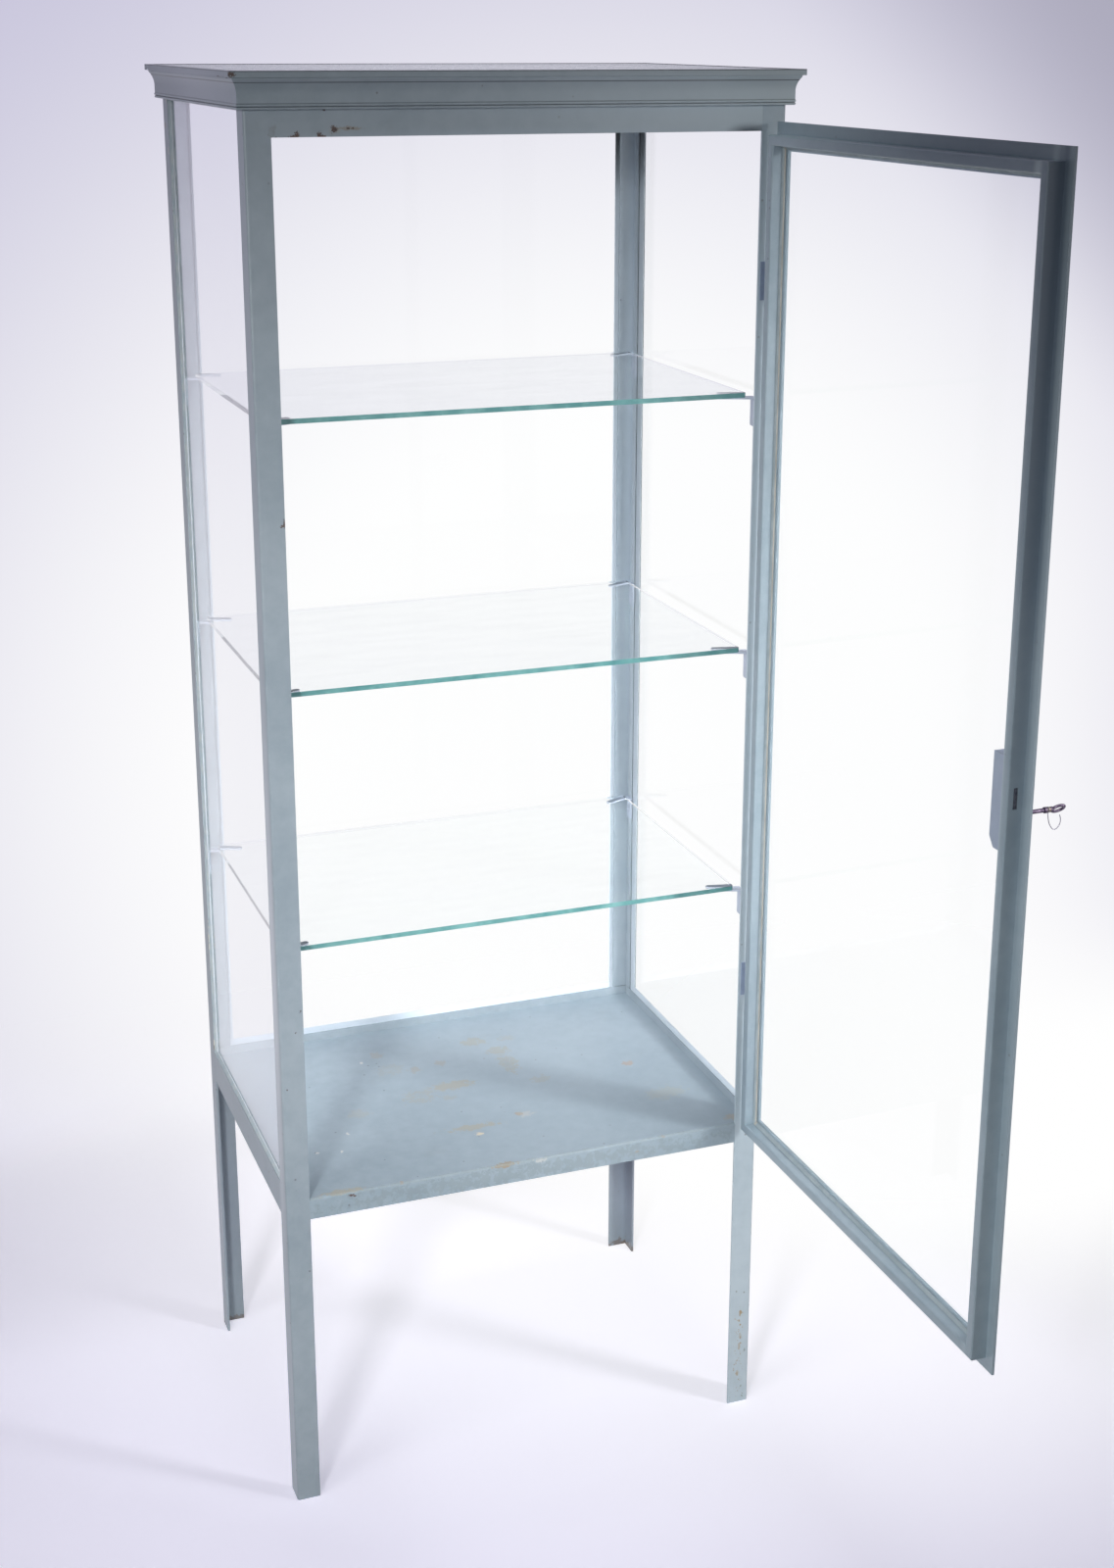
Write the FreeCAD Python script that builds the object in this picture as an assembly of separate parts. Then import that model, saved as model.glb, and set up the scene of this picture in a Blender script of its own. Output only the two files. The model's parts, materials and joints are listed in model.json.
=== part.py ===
import FreeCAD, Part
import math
import os

os.makedirs("parts", exist_ok=True)
V = FreeCAD.Vector

# Driving sizes in millimetres. X runs to the right, Y to the back, Z up from the floor.
cabinet_width = 640.0
cabinet_depth = 450.0
cabinet_height = 1777.0
leg_height = 404.0
open_angle = 91.0

# Angle iron of the corner posts, headers and sills
angle_leg = 30.0
angle_thick = 3.0
angle_bend = 3.0
sill_height = 43.0
side_header_height = 35.0

# Cornice, header and top sheet
cornice_height = 40.0
header_drop = 29.0
top_sheet = 1.5
top_gap = 1.0
lip_inner = 9.0

# Glazing: putty bed, pane, clearance and inner bead, counted inwards from the flange
putty_bed = 1.0
pane_thick = 3.0
bead_clear = 0.3
bead_thick = 1.5
pane_cover = 15.0
putty_cover = 10.0
putty_slope = 5.0
setting_block = 4.0

# Bottom tray
tray_sheet = 2.0
lip_height = 28.0
sill_bead_height = 12.0
tray_clear = 0.4

# Glass shelves and their brackets
shelf_thick = 6.0
shelf_half_width = cabinet_width / 2 - 22.0
shelf_front = 41.0
shelf_back = 24.0
bracket_strip = 2.5
bracket_width = 14.0
bracket_leg = 36.0
bracket_tip = 4.0
leg_round = 3.0
fold_round = 3.0
rivet_radius = 1.5

# Door section: flat flange with a hollow ridge that enters the opening
door_gap = 2.0
door_flange = 32.0
flange_thick = 3.0
door_lap = 14.0
ridge_width = 12.0
ridge_depth = 22.0
ridge_wall = 1.5
ridge_round = 2.0
side_play = 2.0
head_play = 3.0
foot_play = 4.0

# Hinges
knuckle_radius = 4.5
pin_radius = 2.95
pin_play = 0.05
leaf_thick = 1.5
leaf_inset = 2.5
hinge_height = 45.0
knuckle_play = 0.3
hinge_inset_top = 160.0
hinge_inset_bottom = 196.0
screw_radius = 2.2

# Lock, bolt and key
lock_level = 0.5075
lock_height = 102.0
lock_reach = 20.0
lock_wall = 1.5
bolt_height = 22.0
bolt_thick = 4.0
bolt_play = 0.5
key_radius = 2.3
key_play = 0.05
bow_radius = 6.8
bow_wire = 1.6
bow_reach = 43.5
bit_reach = 8.0
key_rest_turn = 45.0

# Levels and faces that follow from the sizes above
half_w = cabinet_width / 2
half_d = cabinet_depth / 2
cornice_low = cabinet_height - cornice_height
header_low = cornice_low - header_drop
frame_top = cabinet_height - 0.5 - top_sheet
floor_level = leg_height + lip_height
sill_top = leg_height + sill_height
glass_out = angle_thick + putty_bed
glass_in = glass_out + pane_thick
bead_out = glass_in + bead_clear
bead_in = bead_out + bead_thick
tray_edge = bead_out + tray_clear
opening_half = half_w - angle_leg
clear_height = header_low - floor_level
shelf_pitch = clear_height / 4 + 3.0
side_header_low = frame_top - side_header_height
sill_bead_top = floor_level + sill_bead_height
post_bead_low = sill_bead_top + 1.0
post_bead_high = frame_top - angle_thick - 4.0

door_half = opening_half - side_play + door_lap
door_top = header_low - head_play + door_lap
door_foot = floor_level + foot_play - door_lap
door_face = -half_d - door_gap - flange_thick
hinge_x = door_half + 1.0 + knuckle_radius
hinge_y = door_face
lock_z = door_foot + lock_level * (door_top - door_foot) - 16.0


def save(name, *solids):
    """Write one node; several solids become one group."""
    shape = solids[0] if len(solids) == 1 else Part.makeCompound(list(solids))
    shape.exportStep("parts/%s.step" % name)


def block(x0, x1, y0, y1, z0, z1):
    """A box between two corners, in any order."""
    low = V(min(x0, x1), min(y0, y1), min(z0, z1))
    return Part.makeBox(abs(x1 - x0), abs(y1 - y0), abs(z1 - z0), low)


def rod(radius, start, along, length):
    return Part.makeCylinder(radius, length, start, along)


def outline(points, to_space):
    """Closed wire: a pair is a corner, four numbers are an arc through a point to an end."""
    edges = []
    here = points[0]
    for step in points[1:] + [points[0]]:
        end = step[-2:]
        if len(step) == 4:
            edges.append(Part.Arc(to_space(*here), to_space(*step[:2]), to_space(*end)).toShape())
        elif math.dist(here, end) > 1e-6:
            edges.append(Part.makeLine(to_space(*here), to_space(*end)))
        here = end
    return Part.Wire(edges)


def prism(points, z0, z1):
    """Plan outline raised between two levels."""
    face = Part.Face(outline(points, lambda x, y: V(x, y, z0)))
    return face.extrude(V(0, 0, z1 - z0))


def mitred(section, start, along, across, depth, low, high, lean):
    """Bar with a section in (across, depth); its ends follow the mitre, leaning out or in."""
    reach = [p[-2] for p in section[0]]
    thick = [p[-1] for p in section[0]]
    a0, a1 = min(reach), max(reach)
    b0, b1 = min(thick) - 1.0, max(thick) + 1.0
    back = start + along * (low - 80.0)
    run = along * (high - low + 160.0)
    loops = [Part.Face(outline(loop, lambda a, b: back + across * a + depth * b)).extrude(run) for loop in section]
    bar = loops[0]
    for hollow in loops[1:]:
        bar = bar.cut(hollow)
    corners = [(low - lean * a0, a0), (high + lean * a0, a0), (high + lean * a1, a1), (low - lean * a1, a1)]
    base = start + depth * b0
    wedge = Part.Face(outline(corners, lambda l, a: base + along * l + across * a))
    return bar.common(wedge.extrude(depth * (b1 - b0))).Solids[0]


def swing(shape):
    """Turn a door piece from closed to the open rest pose."""
    turned = shape.copy()
    turned.rotate(V(hinge_x, hinge_y, 0), V(0, 0, 1), open_angle)
    return turned


def mirrored(shape):
    return shape.mirror(V(0, 0, 0), V(1, 0, 0))


# Corner posts: bent angles that run from the floor to the top and serve as legs
def post(side, front):
    near = angle_bend * (1 - math.sqrt(0.5))
    plan = [(0, angle_bend), (near, near, angle_bend, 0), (angle_leg, 0), (angle_leg, angle_thick),
            (angle_thick, angle_thick), (angle_thick, angle_leg), (0, angle_leg)]
    shape = prism(plan, 0, frame_top)
    shape.translate(V(-half_w, -half_d, 0))
    if side > 0:
        shape = shape.mirror(V(0, 0, 0), V(1, 0, 0))
    if not front:
        shape = shape.mirror(V(0, 0, 0), V(0, 1, 0))
    return shape


hinge_levels = (door_top - hinge_inset_top - hinge_height / 2,
                door_foot + hinge_inset_bottom + hinge_height / 2)
leaf_screw_x = opening_half + 6.5
leaf_screw_rise = 13.0
post_screws = []
for level in hinge_levels:
    for rise in (-leaf_screw_rise, leaf_screw_rise):
        post_screws.append((leaf_screw_x, level + rise))


def screw_holes(shape, spots, radius, y0, y1):
    for x, z in spots:
        shape = shape.cut(rod(radius, V(x, y0, z), V(0, 1, 0), y1 - y0))
    return shape


save("post_front_left", post(-1, True))
save("post_front_right", screw_holes(post(1, True), post_screws, screw_radius + 0.02, -half_d - 5, -half_d + 9))
save("post_back_left", post(-1, False))
save("post_back_right", post(1, False))

# Headers: angles between the posts; the front one shows a deep face under the cornice
front_face = block(-opening_half, opening_half, -half_d, -half_d + angle_thick, header_low, frame_top)
front_top = block(-opening_half, opening_half, -half_d, -half_d + angle_leg, frame_top - angle_thick, frame_top)
save("header_front", front_face.fuse(front_top).removeSplitter().Solids[0])
back_face = block(-opening_half, opening_half, half_d - angle_thick, half_d, side_header_low, frame_top)
back_top = block(-opening_half, opening_half, half_d - angle_leg, half_d, frame_top - angle_thick, frame_top)
save("header_back", back_face.fuse(back_top).removeSplitter().Solids[0])
side_run = half_d - angle_leg
side_face = block(half_w - angle_thick, half_w, -side_run, side_run, side_header_low, frame_top)
side_top = block(half_w - angle_leg, half_w, -side_run, side_run, frame_top - angle_thick, frame_top)
header_right = side_face.fuse(side_top).removeSplitter().Solids[0]
save("header_right", header_right)
save("header_left", mirrored(header_right))

# Sills: angles that carry the tray and the foot of the panes
sill_face = block(half_w - angle_thick, half_w, -side_run, side_run, leg_height, sill_top)
sill_foot = block(half_w - angle_leg, half_w, -side_run, side_run, leg_height, leg_height + angle_thick)
sill_right = sill_face.fuse(sill_foot).removeSplitter().Solids[0]
save("sill_right", sill_right)
save("sill_left", mirrored(sill_right))
sill_face = block(-opening_half, opening_half, half_d - angle_thick, half_d, leg_height, sill_top)
sill_foot = block(-opening_half, opening_half, half_d - angle_leg, half_d, leg_height, leg_height + angle_thick)
save("sill_back", sill_face.fuse(sill_foot).removeSplitter().Solids[0])

# Bottom tray: one sheet, floor flush with a rolled front lip, skirts on the other three sides
tray_x = half_w - tray_edge
tray_back = half_d - tray_edge
tray_notch = -half_d + angle_thick + tray_clear
floor_low = floor_level - tray_sheet
skirt_low = leg_height + angle_thick
floor_plan = [(-opening_half, -half_d), (opening_half, -half_d), (opening_half, tray_notch), (tray_x, tray_notch),
              (tray_x, tray_back), (-tray_x, tray_back), (-tray_x, tray_notch), (-opening_half, tray_notch)]
tray = prism(floor_plan, floor_low, floor_level)
tray = tray.fuse([
    block(-opening_half, opening_half, -half_d, -half_d + tray_sheet, leg_height, floor_level),
    block(tray_x - tray_sheet, tray_x, -side_run, tray_back, skirt_low, floor_level),
    block(-tray_x, -tray_x + tray_sheet, -side_run, tray_back, skirt_low, floor_level),
    block(-tray_x, tray_x, tray_back - tray_sheet, tray_back, skirt_low, floor_level)]).removeSplitter()
roll = [e for e in tray.Edges if abs(e.BoundBox.YMin + half_d) < 1e-4 and abs(e.BoundBox.YMax + half_d) < 1e-4
        and abs(e.BoundBox.ZMin - floor_level) < 1e-4 and e.BoundBox.XLength > opening_half]
save("bottom_tray", tray.makeFillet(tray_sheet * 1.6, roll).Solids[0])

# Cornice: pressed moulding with nose, step, cove, plain band and two reeds, mitred at the corners
cornice_section = [[
    (0.0, 0.0), (6.6, 0.0), (8.09, 1.49, 6.6, 2.98), (8.32, 4.7, 7.6, 6.1), (7.6, 14.0),
    (9.0, 23.8, 13.2, 31.4), (13.2, 32.6), (14.4, 33.2), (17.0, 33.2), (18.6, 36.6, 17.0, cornice_height),
    (lip_inner, cornice_height), (lip_inner, cornice_height - 1.6), (15.0, cornice_height - 1.8),
    (14.6, 35.0), (11.4, 33.4), (10.8, 31.6), (7.2, 24.0, 5.9, 14.5), (5.9, 7.2), (4.4, 1.6), (0.0, 1.6)]]
level = V(0, 0, cornice_low)
up = V(0, 0, 1)
cornice_right = mitred(cornice_section, level + V(half_w, 0, 0), V(0, 1, 0), V(1, 0, 0), up, -half_d, half_d, 1)
cornice_back = mitred(cornice_section, level + V(0, half_d, 0), V(1, 0, 0), V(0, 1, 0), up, -half_w, half_w, 1)
save("cornice_right", cornice_right)
save("cornice_left", mirrored(cornice_right))
save("cornice_back", cornice_back)
save("cornice_front", cornice_back.mirror(V(0, 0, 0), V(0, 1, 0)))
lid = lip_inner - top_gap
save("top_panel", block(-half_w - lid, half_w + lid, -half_d - lid, half_d + lid, frame_top, frame_top + top_sheet))

# Panes in the sides and the back, standing on setting blocks
pane_low = leg_height + angle_thick + setting_block
pane_high = frame_top - angle_thick - 4.0
pane_y = half_d - angle_leg + pane_cover
pane_x = half_w - angle_leg + pane_cover
pane_right = block(half_w - glass_in, half_w - glass_out, -pane_y, pane_y, pane_low, pane_high)
save("pane_right", pane_right)
save("pane_left", mirrored(pane_right))
save("pane_back", block(-pane_x, pane_x, half_d - glass_in, half_d - glass_out, pane_low, pane_high))
block_low = leg_height + angle_thick
blocks = []
for y in (-side_run / 2, side_run / 2):
    foot = block(half_w - glass_in, half_w - glass_out, y - 12, y + 12, block_low, pane_low)
    blocks += [foot, mirrored(foot)]
for x in (-opening_half / 2, opening_half / 2):
    blocks.append(block(x - 12, x + 12, half_d - glass_in, half_d - glass_out, block_low, pane_low))
save("setting_blocks", *blocks)

# Putty between flange and pane, struck off to a slope along the flange edge
putty_section = [[(-putty_cover, angle_thick), (0.0, angle_thick), (0.0, 1.0),
                  (putty_slope, glass_out - 0.4), (putty_slope, glass_out), (-putty_cover, glass_out)]]


def putty_frame(start, run, inward, half_run):
    """Four strips round one pane; the section is counted from the flange edges."""
    low, high = sill_top, side_header_low
    middle = (low + high) / 2
    tall = (high - low) / 2
    strips = []
    for sign in (-1, 1):
        edge = start + run * (sign * half_run) + up * middle
        strips.append(mitred(putty_section, edge, up, run * -sign, inward, -tall, tall, -1))
        edge = start + up * (middle + sign * tall)
        strips.append(mitred(putty_section, edge, run, up * -sign, inward, -half_run, half_run, -1))
    return strips


putty_right = putty_frame(V(half_w, 0, 0), V(0, 1, 0), V(-1, 0, 0), side_run)
save("putty_right", *putty_right)
save("putty_left", *[mirrored(s) for s in putty_right])
save("putty_back", *putty_frame(V(0, half_d, 0), V(1, 0, 0), V(0, -1, 0), opening_half))

# Shelf levels and the bracket places
shelf_tops = [floor_level + shelf_pitch * n for n in (1, 2, 3)]
shelf_names = ("lower", "middle", "upper")
bead_face = half_w - bead_in
front_mid = -half_d + shelf_front + 4.0
back_mid = half_d - bead_in - bracket_width / 2 - 3.0
front_point = V(bead_face - 41.0, -half_d + shelf_front + 17.0, 0)
back_point = V(bead_face - 40.0, half_d - shelf_back - 13.0, 0)
rivet_drop = bracket_leg * 0.66
front_bead_end = -half_d + angle_leg - 1.0
front_heel = front_bead_end - 9.0
front_rivet = front_bead_end - 4.0
back_heel = back_mid - bracket_width / 2


def bracket(mid_y, point, top, heel, rivet_y):
    """Bent strip: leg against the bead from heel to toe, tongue swept towards the shelf corner."""
    half = bracket_width / 2
    low = top - bracket_leg
    leg = block(bead_face - bracket_strip, bead_face, heel, mid_y + half, low, top)
    feet = [e for e in leg.Edges if e.BoundBox.ZMax < low + 1e-4 and e.BoundBox.YLength < 1e-4]
    leg = leg.makeFillet(leg_round, feet)
    run = (point - V(bead_face, mid_y, 0)).normalize()
    side = V(-run.y, run.x, 0) * bracket_tip
    left, right, end = point - side, point + side, point + run * bracket_tip
    first, last = (mid_y - half, mid_y + half) if left.y < right.y else (mid_y + half, mid_y - half)
    plan = [(bead_face, first), (left.x, left.y), (end.x, end.y, right.x, right.y), (bead_face, last)]
    tongue = prism(plan, top - bracket_strip, top)
    fold_x, fold_z = bead_face - bracket_strip, top - bracket_strip
    ease = fold_round * (1 - math.sqrt(0.5))
    fold_plan = [(fold_x, fold_z), (fold_x, fold_z - fold_round),
                 (fold_x - ease, fold_z - ease, fold_x - fold_round, fold_z)]
    fold = Part.Face(outline(fold_plan, lambda x, z: V(x, mid_y - half + fold_round, z)))
    fold = fold.extrude(V(0, bracket_width - 2 * fold_round, 0))
    shape = leg.fuse([tongue, fold]).removeSplitter()
    hole = rod(rivet_radius, V(bead_face - 9, rivet_y, top - rivet_drop), V(1, 0, 0), 18)
    return shape.cut(hole).Solids[0]


def rivet(mid_y, top):
    head = Part.makeSphere(4.0, V(bead_face - bracket_strip + 2.4, mid_y, top - rivet_drop))
    keep = block(bead_face - 9, bead_face - bracket_strip, mid_y - 6, mid_y + 6, top - bracket_leg - 9, top + 9)
    start = V(bead_face - bracket_strip - 0.5, mid_y, top - rivet_drop)
    shank = rod(rivet_radius, start, V(1, 0, 0), bracket_strip + bead_thick + 0.5)
    return head.common(keep).fuse(shank).removeSplitter().Solids[0]


rivets = []
bead_holes = []
for top, name in zip(shelf_tops, shelf_names):
    under = top - shelf_thick
    group = []
    for mid_y, point, heel, rivet_y in ((front_mid, front_point, front_heel, front_rivet),
                                        (back_mid, back_point, back_heel, back_mid)):
        piece = bracket(mid_y, point, under, heel, rivet_y)
        stud = rivet(rivet_y, under)
        group += [piece, mirrored(piece)]
        rivets += [stud, mirrored(stud)]
        bead_holes.append(rod(rivet_radius, V(bead_face - 9, rivet_y, under - rivet_drop), V(1, 0, 0), 18))
    save("shelf_brackets_" + name, *group)
    y0, y1 = -half_d + shelf_front, half_d - shelf_back
    glass = block(-shelf_half_width, shelf_half_width, y0, y1, under, top)
    rims = [e for e in glass.Edges if e.BoundBox.ZLength > shelf_thick / 2]
    save("shelf_" + name, glass.makeFillet(4.0, rims).Solids[0])
save("bracket_rivets", *rivets)

# Inner beads that hold the panes: corner angles at the posts, strips at sill and head
bead_wall = half_w - bead_out
back_wall = half_d - bead_out
corner_leg = 14.0
corner = block(opening_half, bead_wall, back_wall - bead_thick, back_wall, post_bead_low, post_bead_high)
corner = corner.fuse(block(bead_face, bead_wall, back_wall - corner_leg, back_wall, post_bead_low, post_bead_high))
corner = corner.removeSplitter()
front_wall = -half_d + angle_thick
front_bead = block(bead_face - 11.0, bead_wall, front_wall, front_wall + bead_thick, post_bead_low, post_bead_high)
front_bead = front_bead.fuse(block(bead_face, bead_wall, front_wall, front_bead_end, post_bead_low, post_bead_high))
front_bead = front_bead.removeSplitter()
for hole in bead_holes:
    corner = corner.cut(hole)
    front_bead = front_bead.cut(hole)
save("corner_bead_back_right", corner.Solids[0])
save("corner_bead_back_left", mirrored(corner.Solids[0]))
save("post_bead_front_right", front_bead.Solids[0])
save("post_bead_front_left", mirrored(front_bead.Solids[0]))
strip_front = front_wall + 1.0
strip_back = back_wall - bead_thick - 0.2
sill_bead = block(bead_face, bead_wall, strip_front, strip_back, floor_level, sill_bead_top)
save("sill_bead_right", sill_bead)
save("sill_bead_left", mirrored(sill_bead))
save("sill_bead_back", block(-bead_face, bead_face, back_wall - bead_thick, back_wall, floor_level, sill_bead_top))
head_run = back_wall - corner_leg - 1.0
head_start = front_bead_end + 1.0
head_bead = block(bead_face, bead_wall, head_start, head_run, side_header_low, side_header_low + 12.0)
back_strip = opening_half - 1.0
head_back = block(-back_strip, back_strip, back_wall - bead_thick, back_wall, side_header_low, side_header_low + 12.0)
save("head_beads", head_bead, mirrored(head_bead), head_back)

# Door frame: four mitred lengths of flange with a hollow ridge
r0, r1 = door_lap, door_lap + ridge_width
soft = ridge_round * (1 - math.sqrt(0.5))
w0, w1, crest = r0 + ridge_wall, r1 - ridge_wall, ridge_depth - ridge_wall
door_section = [
    [(0.0, 0.0), (door_flange, 0.0), (door_flange, flange_thick), (r1, flange_thick),
     (r1, ridge_depth - ridge_round), (r1 - soft, ridge_depth - soft, r1 - ridge_round, ridge_depth),
     (r0 + ridge_round, ridge_depth), (r0 + soft, ridge_depth - soft, r0, ridge_depth - ridge_round),
     (r0, flange_thick), (0.0, flange_thick)],
    [(w0, flange_thick), (w1, flange_thick), (w1, crest), (w0, crest)]]
plane = V(0, door_face, 0)
inward = V(0, 1, 0)


def stile(sign, section):
    edge = plane + V(sign * door_half, 0, 0)
    return mitred(section, edge, up, V(-sign, 0, 0), inward, door_foot, door_top, -1)


def rail(level, down, section):
    edge = plane + up * level
    return mitred(section, edge, V(1, 0, 0), up * down, inward, -door_half, door_half, -1)


# Lock on the free stile: the bolt runs through slots in the ridge, the key turns inside it
lock_edge = -door_half
key_x = lock_edge + door_lap + ridge_width / 2
key_z = lock_z
bolt_y0 = door_face + flange_thick + 7.0
bolt_y1 = bolt_y0 + bolt_thick
bolt_z0 = key_z + bit_reach
bolt_z1 = bolt_z0 + bolt_height
bolt_tip = lock_edge + door_lap + 0.3
slot_y0, slot_y1 = bolt_y0 - bolt_play, bolt_y1 + bolt_play
slot = block(lock_edge + r0 - 1, lock_edge + r1 + 1, slot_y0, slot_y1, bolt_z0 - bolt_play, bolt_z1 + bolt_play)
bit_y0 = door_face + flange_thick + 6.0
bit_y1 = bit_y0 + 6.0
bit_window = block(lock_edge + r1 - 3, lock_edge + r1 + 1, bit_y0 - 1, bit_y1 + 1, key_z - 9.5, bolt_z0)


def keyhole(round_radius, slot_half, y0, y1):
    hole = rod(round_radius, V(key_x, y0, key_z), inward, y1 - y0)
    return hole.fuse(block(key_x - slot_half, key_x + slot_half, y0, y1, key_z - bit_reach - 0.8, key_z))


leaf_reach = 30.0
door_screws = []
for level in hinge_levels:
    for rise in (-leaf_screw_rise, leaf_screw_rise):
        door_screws.append((door_half - door_lap - ridge_width / 2, level + rise))
lock_stile = stile(-1, door_section).cut(slot).cut(bit_window)
lock_stile = lock_stile.cut(keyhole(key_radius + 0.5, 1.6, door_face - 1, door_face + flange_thick + 0.2))
hinge_stile = screw_holes(stile(1, door_section), door_screws, screw_radius + 0.02, door_face - 2, door_face + 9)
save("door_stile_lock", swing(lock_stile.Solids[0]))
save("door_stile_hinge", swing(hinge_stile.Solids[0]))
save("door_rail_top", swing(rail(door_top, -1, door_section)))
save("door_rail_bottom", swing(rail(door_foot, 1, door_section)))

# Door glass on the flange rim, with a sloped putty fillet inside the ridge
glass_y0 = door_face + flange_thick + 0.3
glass_y1 = glass_y0 + pane_thick
glass_edge = r1 + 1.0
door_glass = block(-door_half + glass_edge, door_half - glass_edge, glass_y0, glass_y1,
                   door_foot + glass_edge, door_top - glass_edge)
save("door_glass", swing(door_glass))
fillet_low = flange_thick + 0.3 + pane_thick
fillet_rise = 3.0
fillet_foot = r1 + 4.0
fillet_section = [[(r1, fillet_low), (fillet_foot, fillet_low), (fillet_foot - 0.2, fillet_low + 0.6),
                   (r1 + 1.0, fillet_low + fillet_rise), (r1, fillet_low + fillet_rise)]]
lock_y0 = door_face + fillet_low + 0.4
lock_y1 = door_face + ridge_depth - 2.5
case_z0 = key_z - 40.0
case_z1 = case_z0 + lock_height
case_x0 = lock_edge + r1
case_x1 = case_x0 + lock_reach
case_space = block(case_x0 - 1, case_x1 + 1, glass_y1, lock_y1 + 9, case_z0 - 0.4, case_z1 + 0.4)
strips = [stile(1, fillet_section), rail(door_top, -1, fillet_section), rail(door_foot, 1, fillet_section)]
strips += stile(-1, fillet_section).cut(case_space).Solids
save("door_putty", *[swing(s) for s in strips])

# Lock case: open towards the ridge, with one cut corner at the foot
cut_x, cut_z = 8.0, 11.0
case_plan = [(case_x0, case_z0), (case_x1 - cut_x, case_z0), (case_x1, case_z0 + cut_z), (case_x1, case_z1),
             (case_x0, case_z1)]
case = Part.Face(outline(case_plan, lambda x, z: V(x, lock_y0, z))).extrude(inward * (lock_y1 - lock_y0))
room_plan = [(case_x0 - 1, case_z0 + lock_wall), (case_x1 - cut_x - lock_wall, case_z0 + lock_wall),
             (case_x1 - lock_wall, case_z0 + cut_z + lock_wall), (case_x1 - lock_wall, case_z1 - lock_wall),
             (case_x0 - 1, case_z1 - lock_wall)]
room = Part.Face(outline(room_plan, lambda x, z: V(x, lock_y0 + lock_wall, z)))
case = case.cut(room.extrude(inward * (lock_y1 - lock_y0 - 2 * lock_wall)))
save("lock_case", swing(case.Solids[0]))
bolt = block(bolt_tip, case_x1 - 4.0, bolt_y0, bolt_y1, bolt_z0, bolt_z1)
save("lock_bolt", swing(bolt))
plate_half = 8.0
plate_rise = 15.0
plate_top, plate_low = key_z + plate_rise - plate_half - 3, key_z - plate_rise + plate_half - 3
plate_plan = [(key_x - plate_half, plate_low), (key_x, plate_low - plate_half, key_x + plate_half, plate_low),
              (key_x + plate_half, plate_top), (key_x, plate_top + plate_half, key_x - plate_half, plate_top)]
plate = Part.Face(outline(plate_plan, lambda x, z: V(x, door_face - 1.0, z))).extrude(inward * 1.0)
plate = plate.cut(keyhole(key_radius + key_play, 1.5, door_face - 2, door_face + 1))
save("keyhole_plate", swing(plate.Solids[0]))

# Key with collar, round bow and bit, resting part way through its turn
collar_reach = 27.0
shaft_end = door_face + flange_thick + 15.0
neck = bow_reach - bow_radius
key = rod(key_radius, V(key_x, door_face - neck, key_z), inward, shaft_end - door_face + neck)
key = key.fuse(rod(3.3, V(key_x, door_face - collar_reach - 2.6, key_z), inward, 2.6))
key = key.fuse(rod(2.9, V(key_x, door_face - neck, key_z), inward, 3.0))
bow = Part.makeTorus(bow_radius, bow_wire, V(key_x, door_face - bow_reach, key_z), V(1, 0, 0))
bit = block(key_x - 1.0, key_x + 1.0, bit_y0, bit_y1, key_z - bit_reach, key_z)
key = key.fuse([bow, bit]).removeSplitter()
key.rotate(V(key_x, 0, key_z), V(0, -1, 0), key_rest_turn)
save("key", swing(key.Solids[0]))

# Thin wire looped from the neck of the key to its bow
wire_radius = 0.45
loop_y = door_face - collar_reach - 4.6
hang = [(loop_y, -key_radius - 0.7), (loop_y - 1.0, -9.0), (loop_y - 4.5, -18.5), (loop_y - 9.5, -22.5),
        (loop_y - 14.5, -19.0), (loop_y - 16.0, -12.5), (loop_y - 14.5, -7.4)]
curve = Part.BSplineCurve()
curve.interpolate([V(key_x, y, key_z + z) for y, z in hang])
path = Part.Wire([curve.toShape()])
first = curve.tangent(curve.FirstParameter)[0]
ring = Part.Wire([Part.Circle(V(key_x, hang[0][0], key_z + hang[0][1]), first, wire_radius).toShape()])
strand = path.makePipeShell([ring], True, True)
collar = Part.makeTorus(key_radius + 0.55, wire_radius, V(key_x, loop_y, key_z), inward)
save("key_wire", swing(strand.fuse(collar).removeSplitter().Solids[0]))


# Hinges: a leaf on the post, a leaf on the door face and a headed pin through three knuckles
def knuckle(radius, z0, z1):
    return rod(radius, V(hinge_x, hinge_y, z0), up, z1 - z0)


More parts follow.
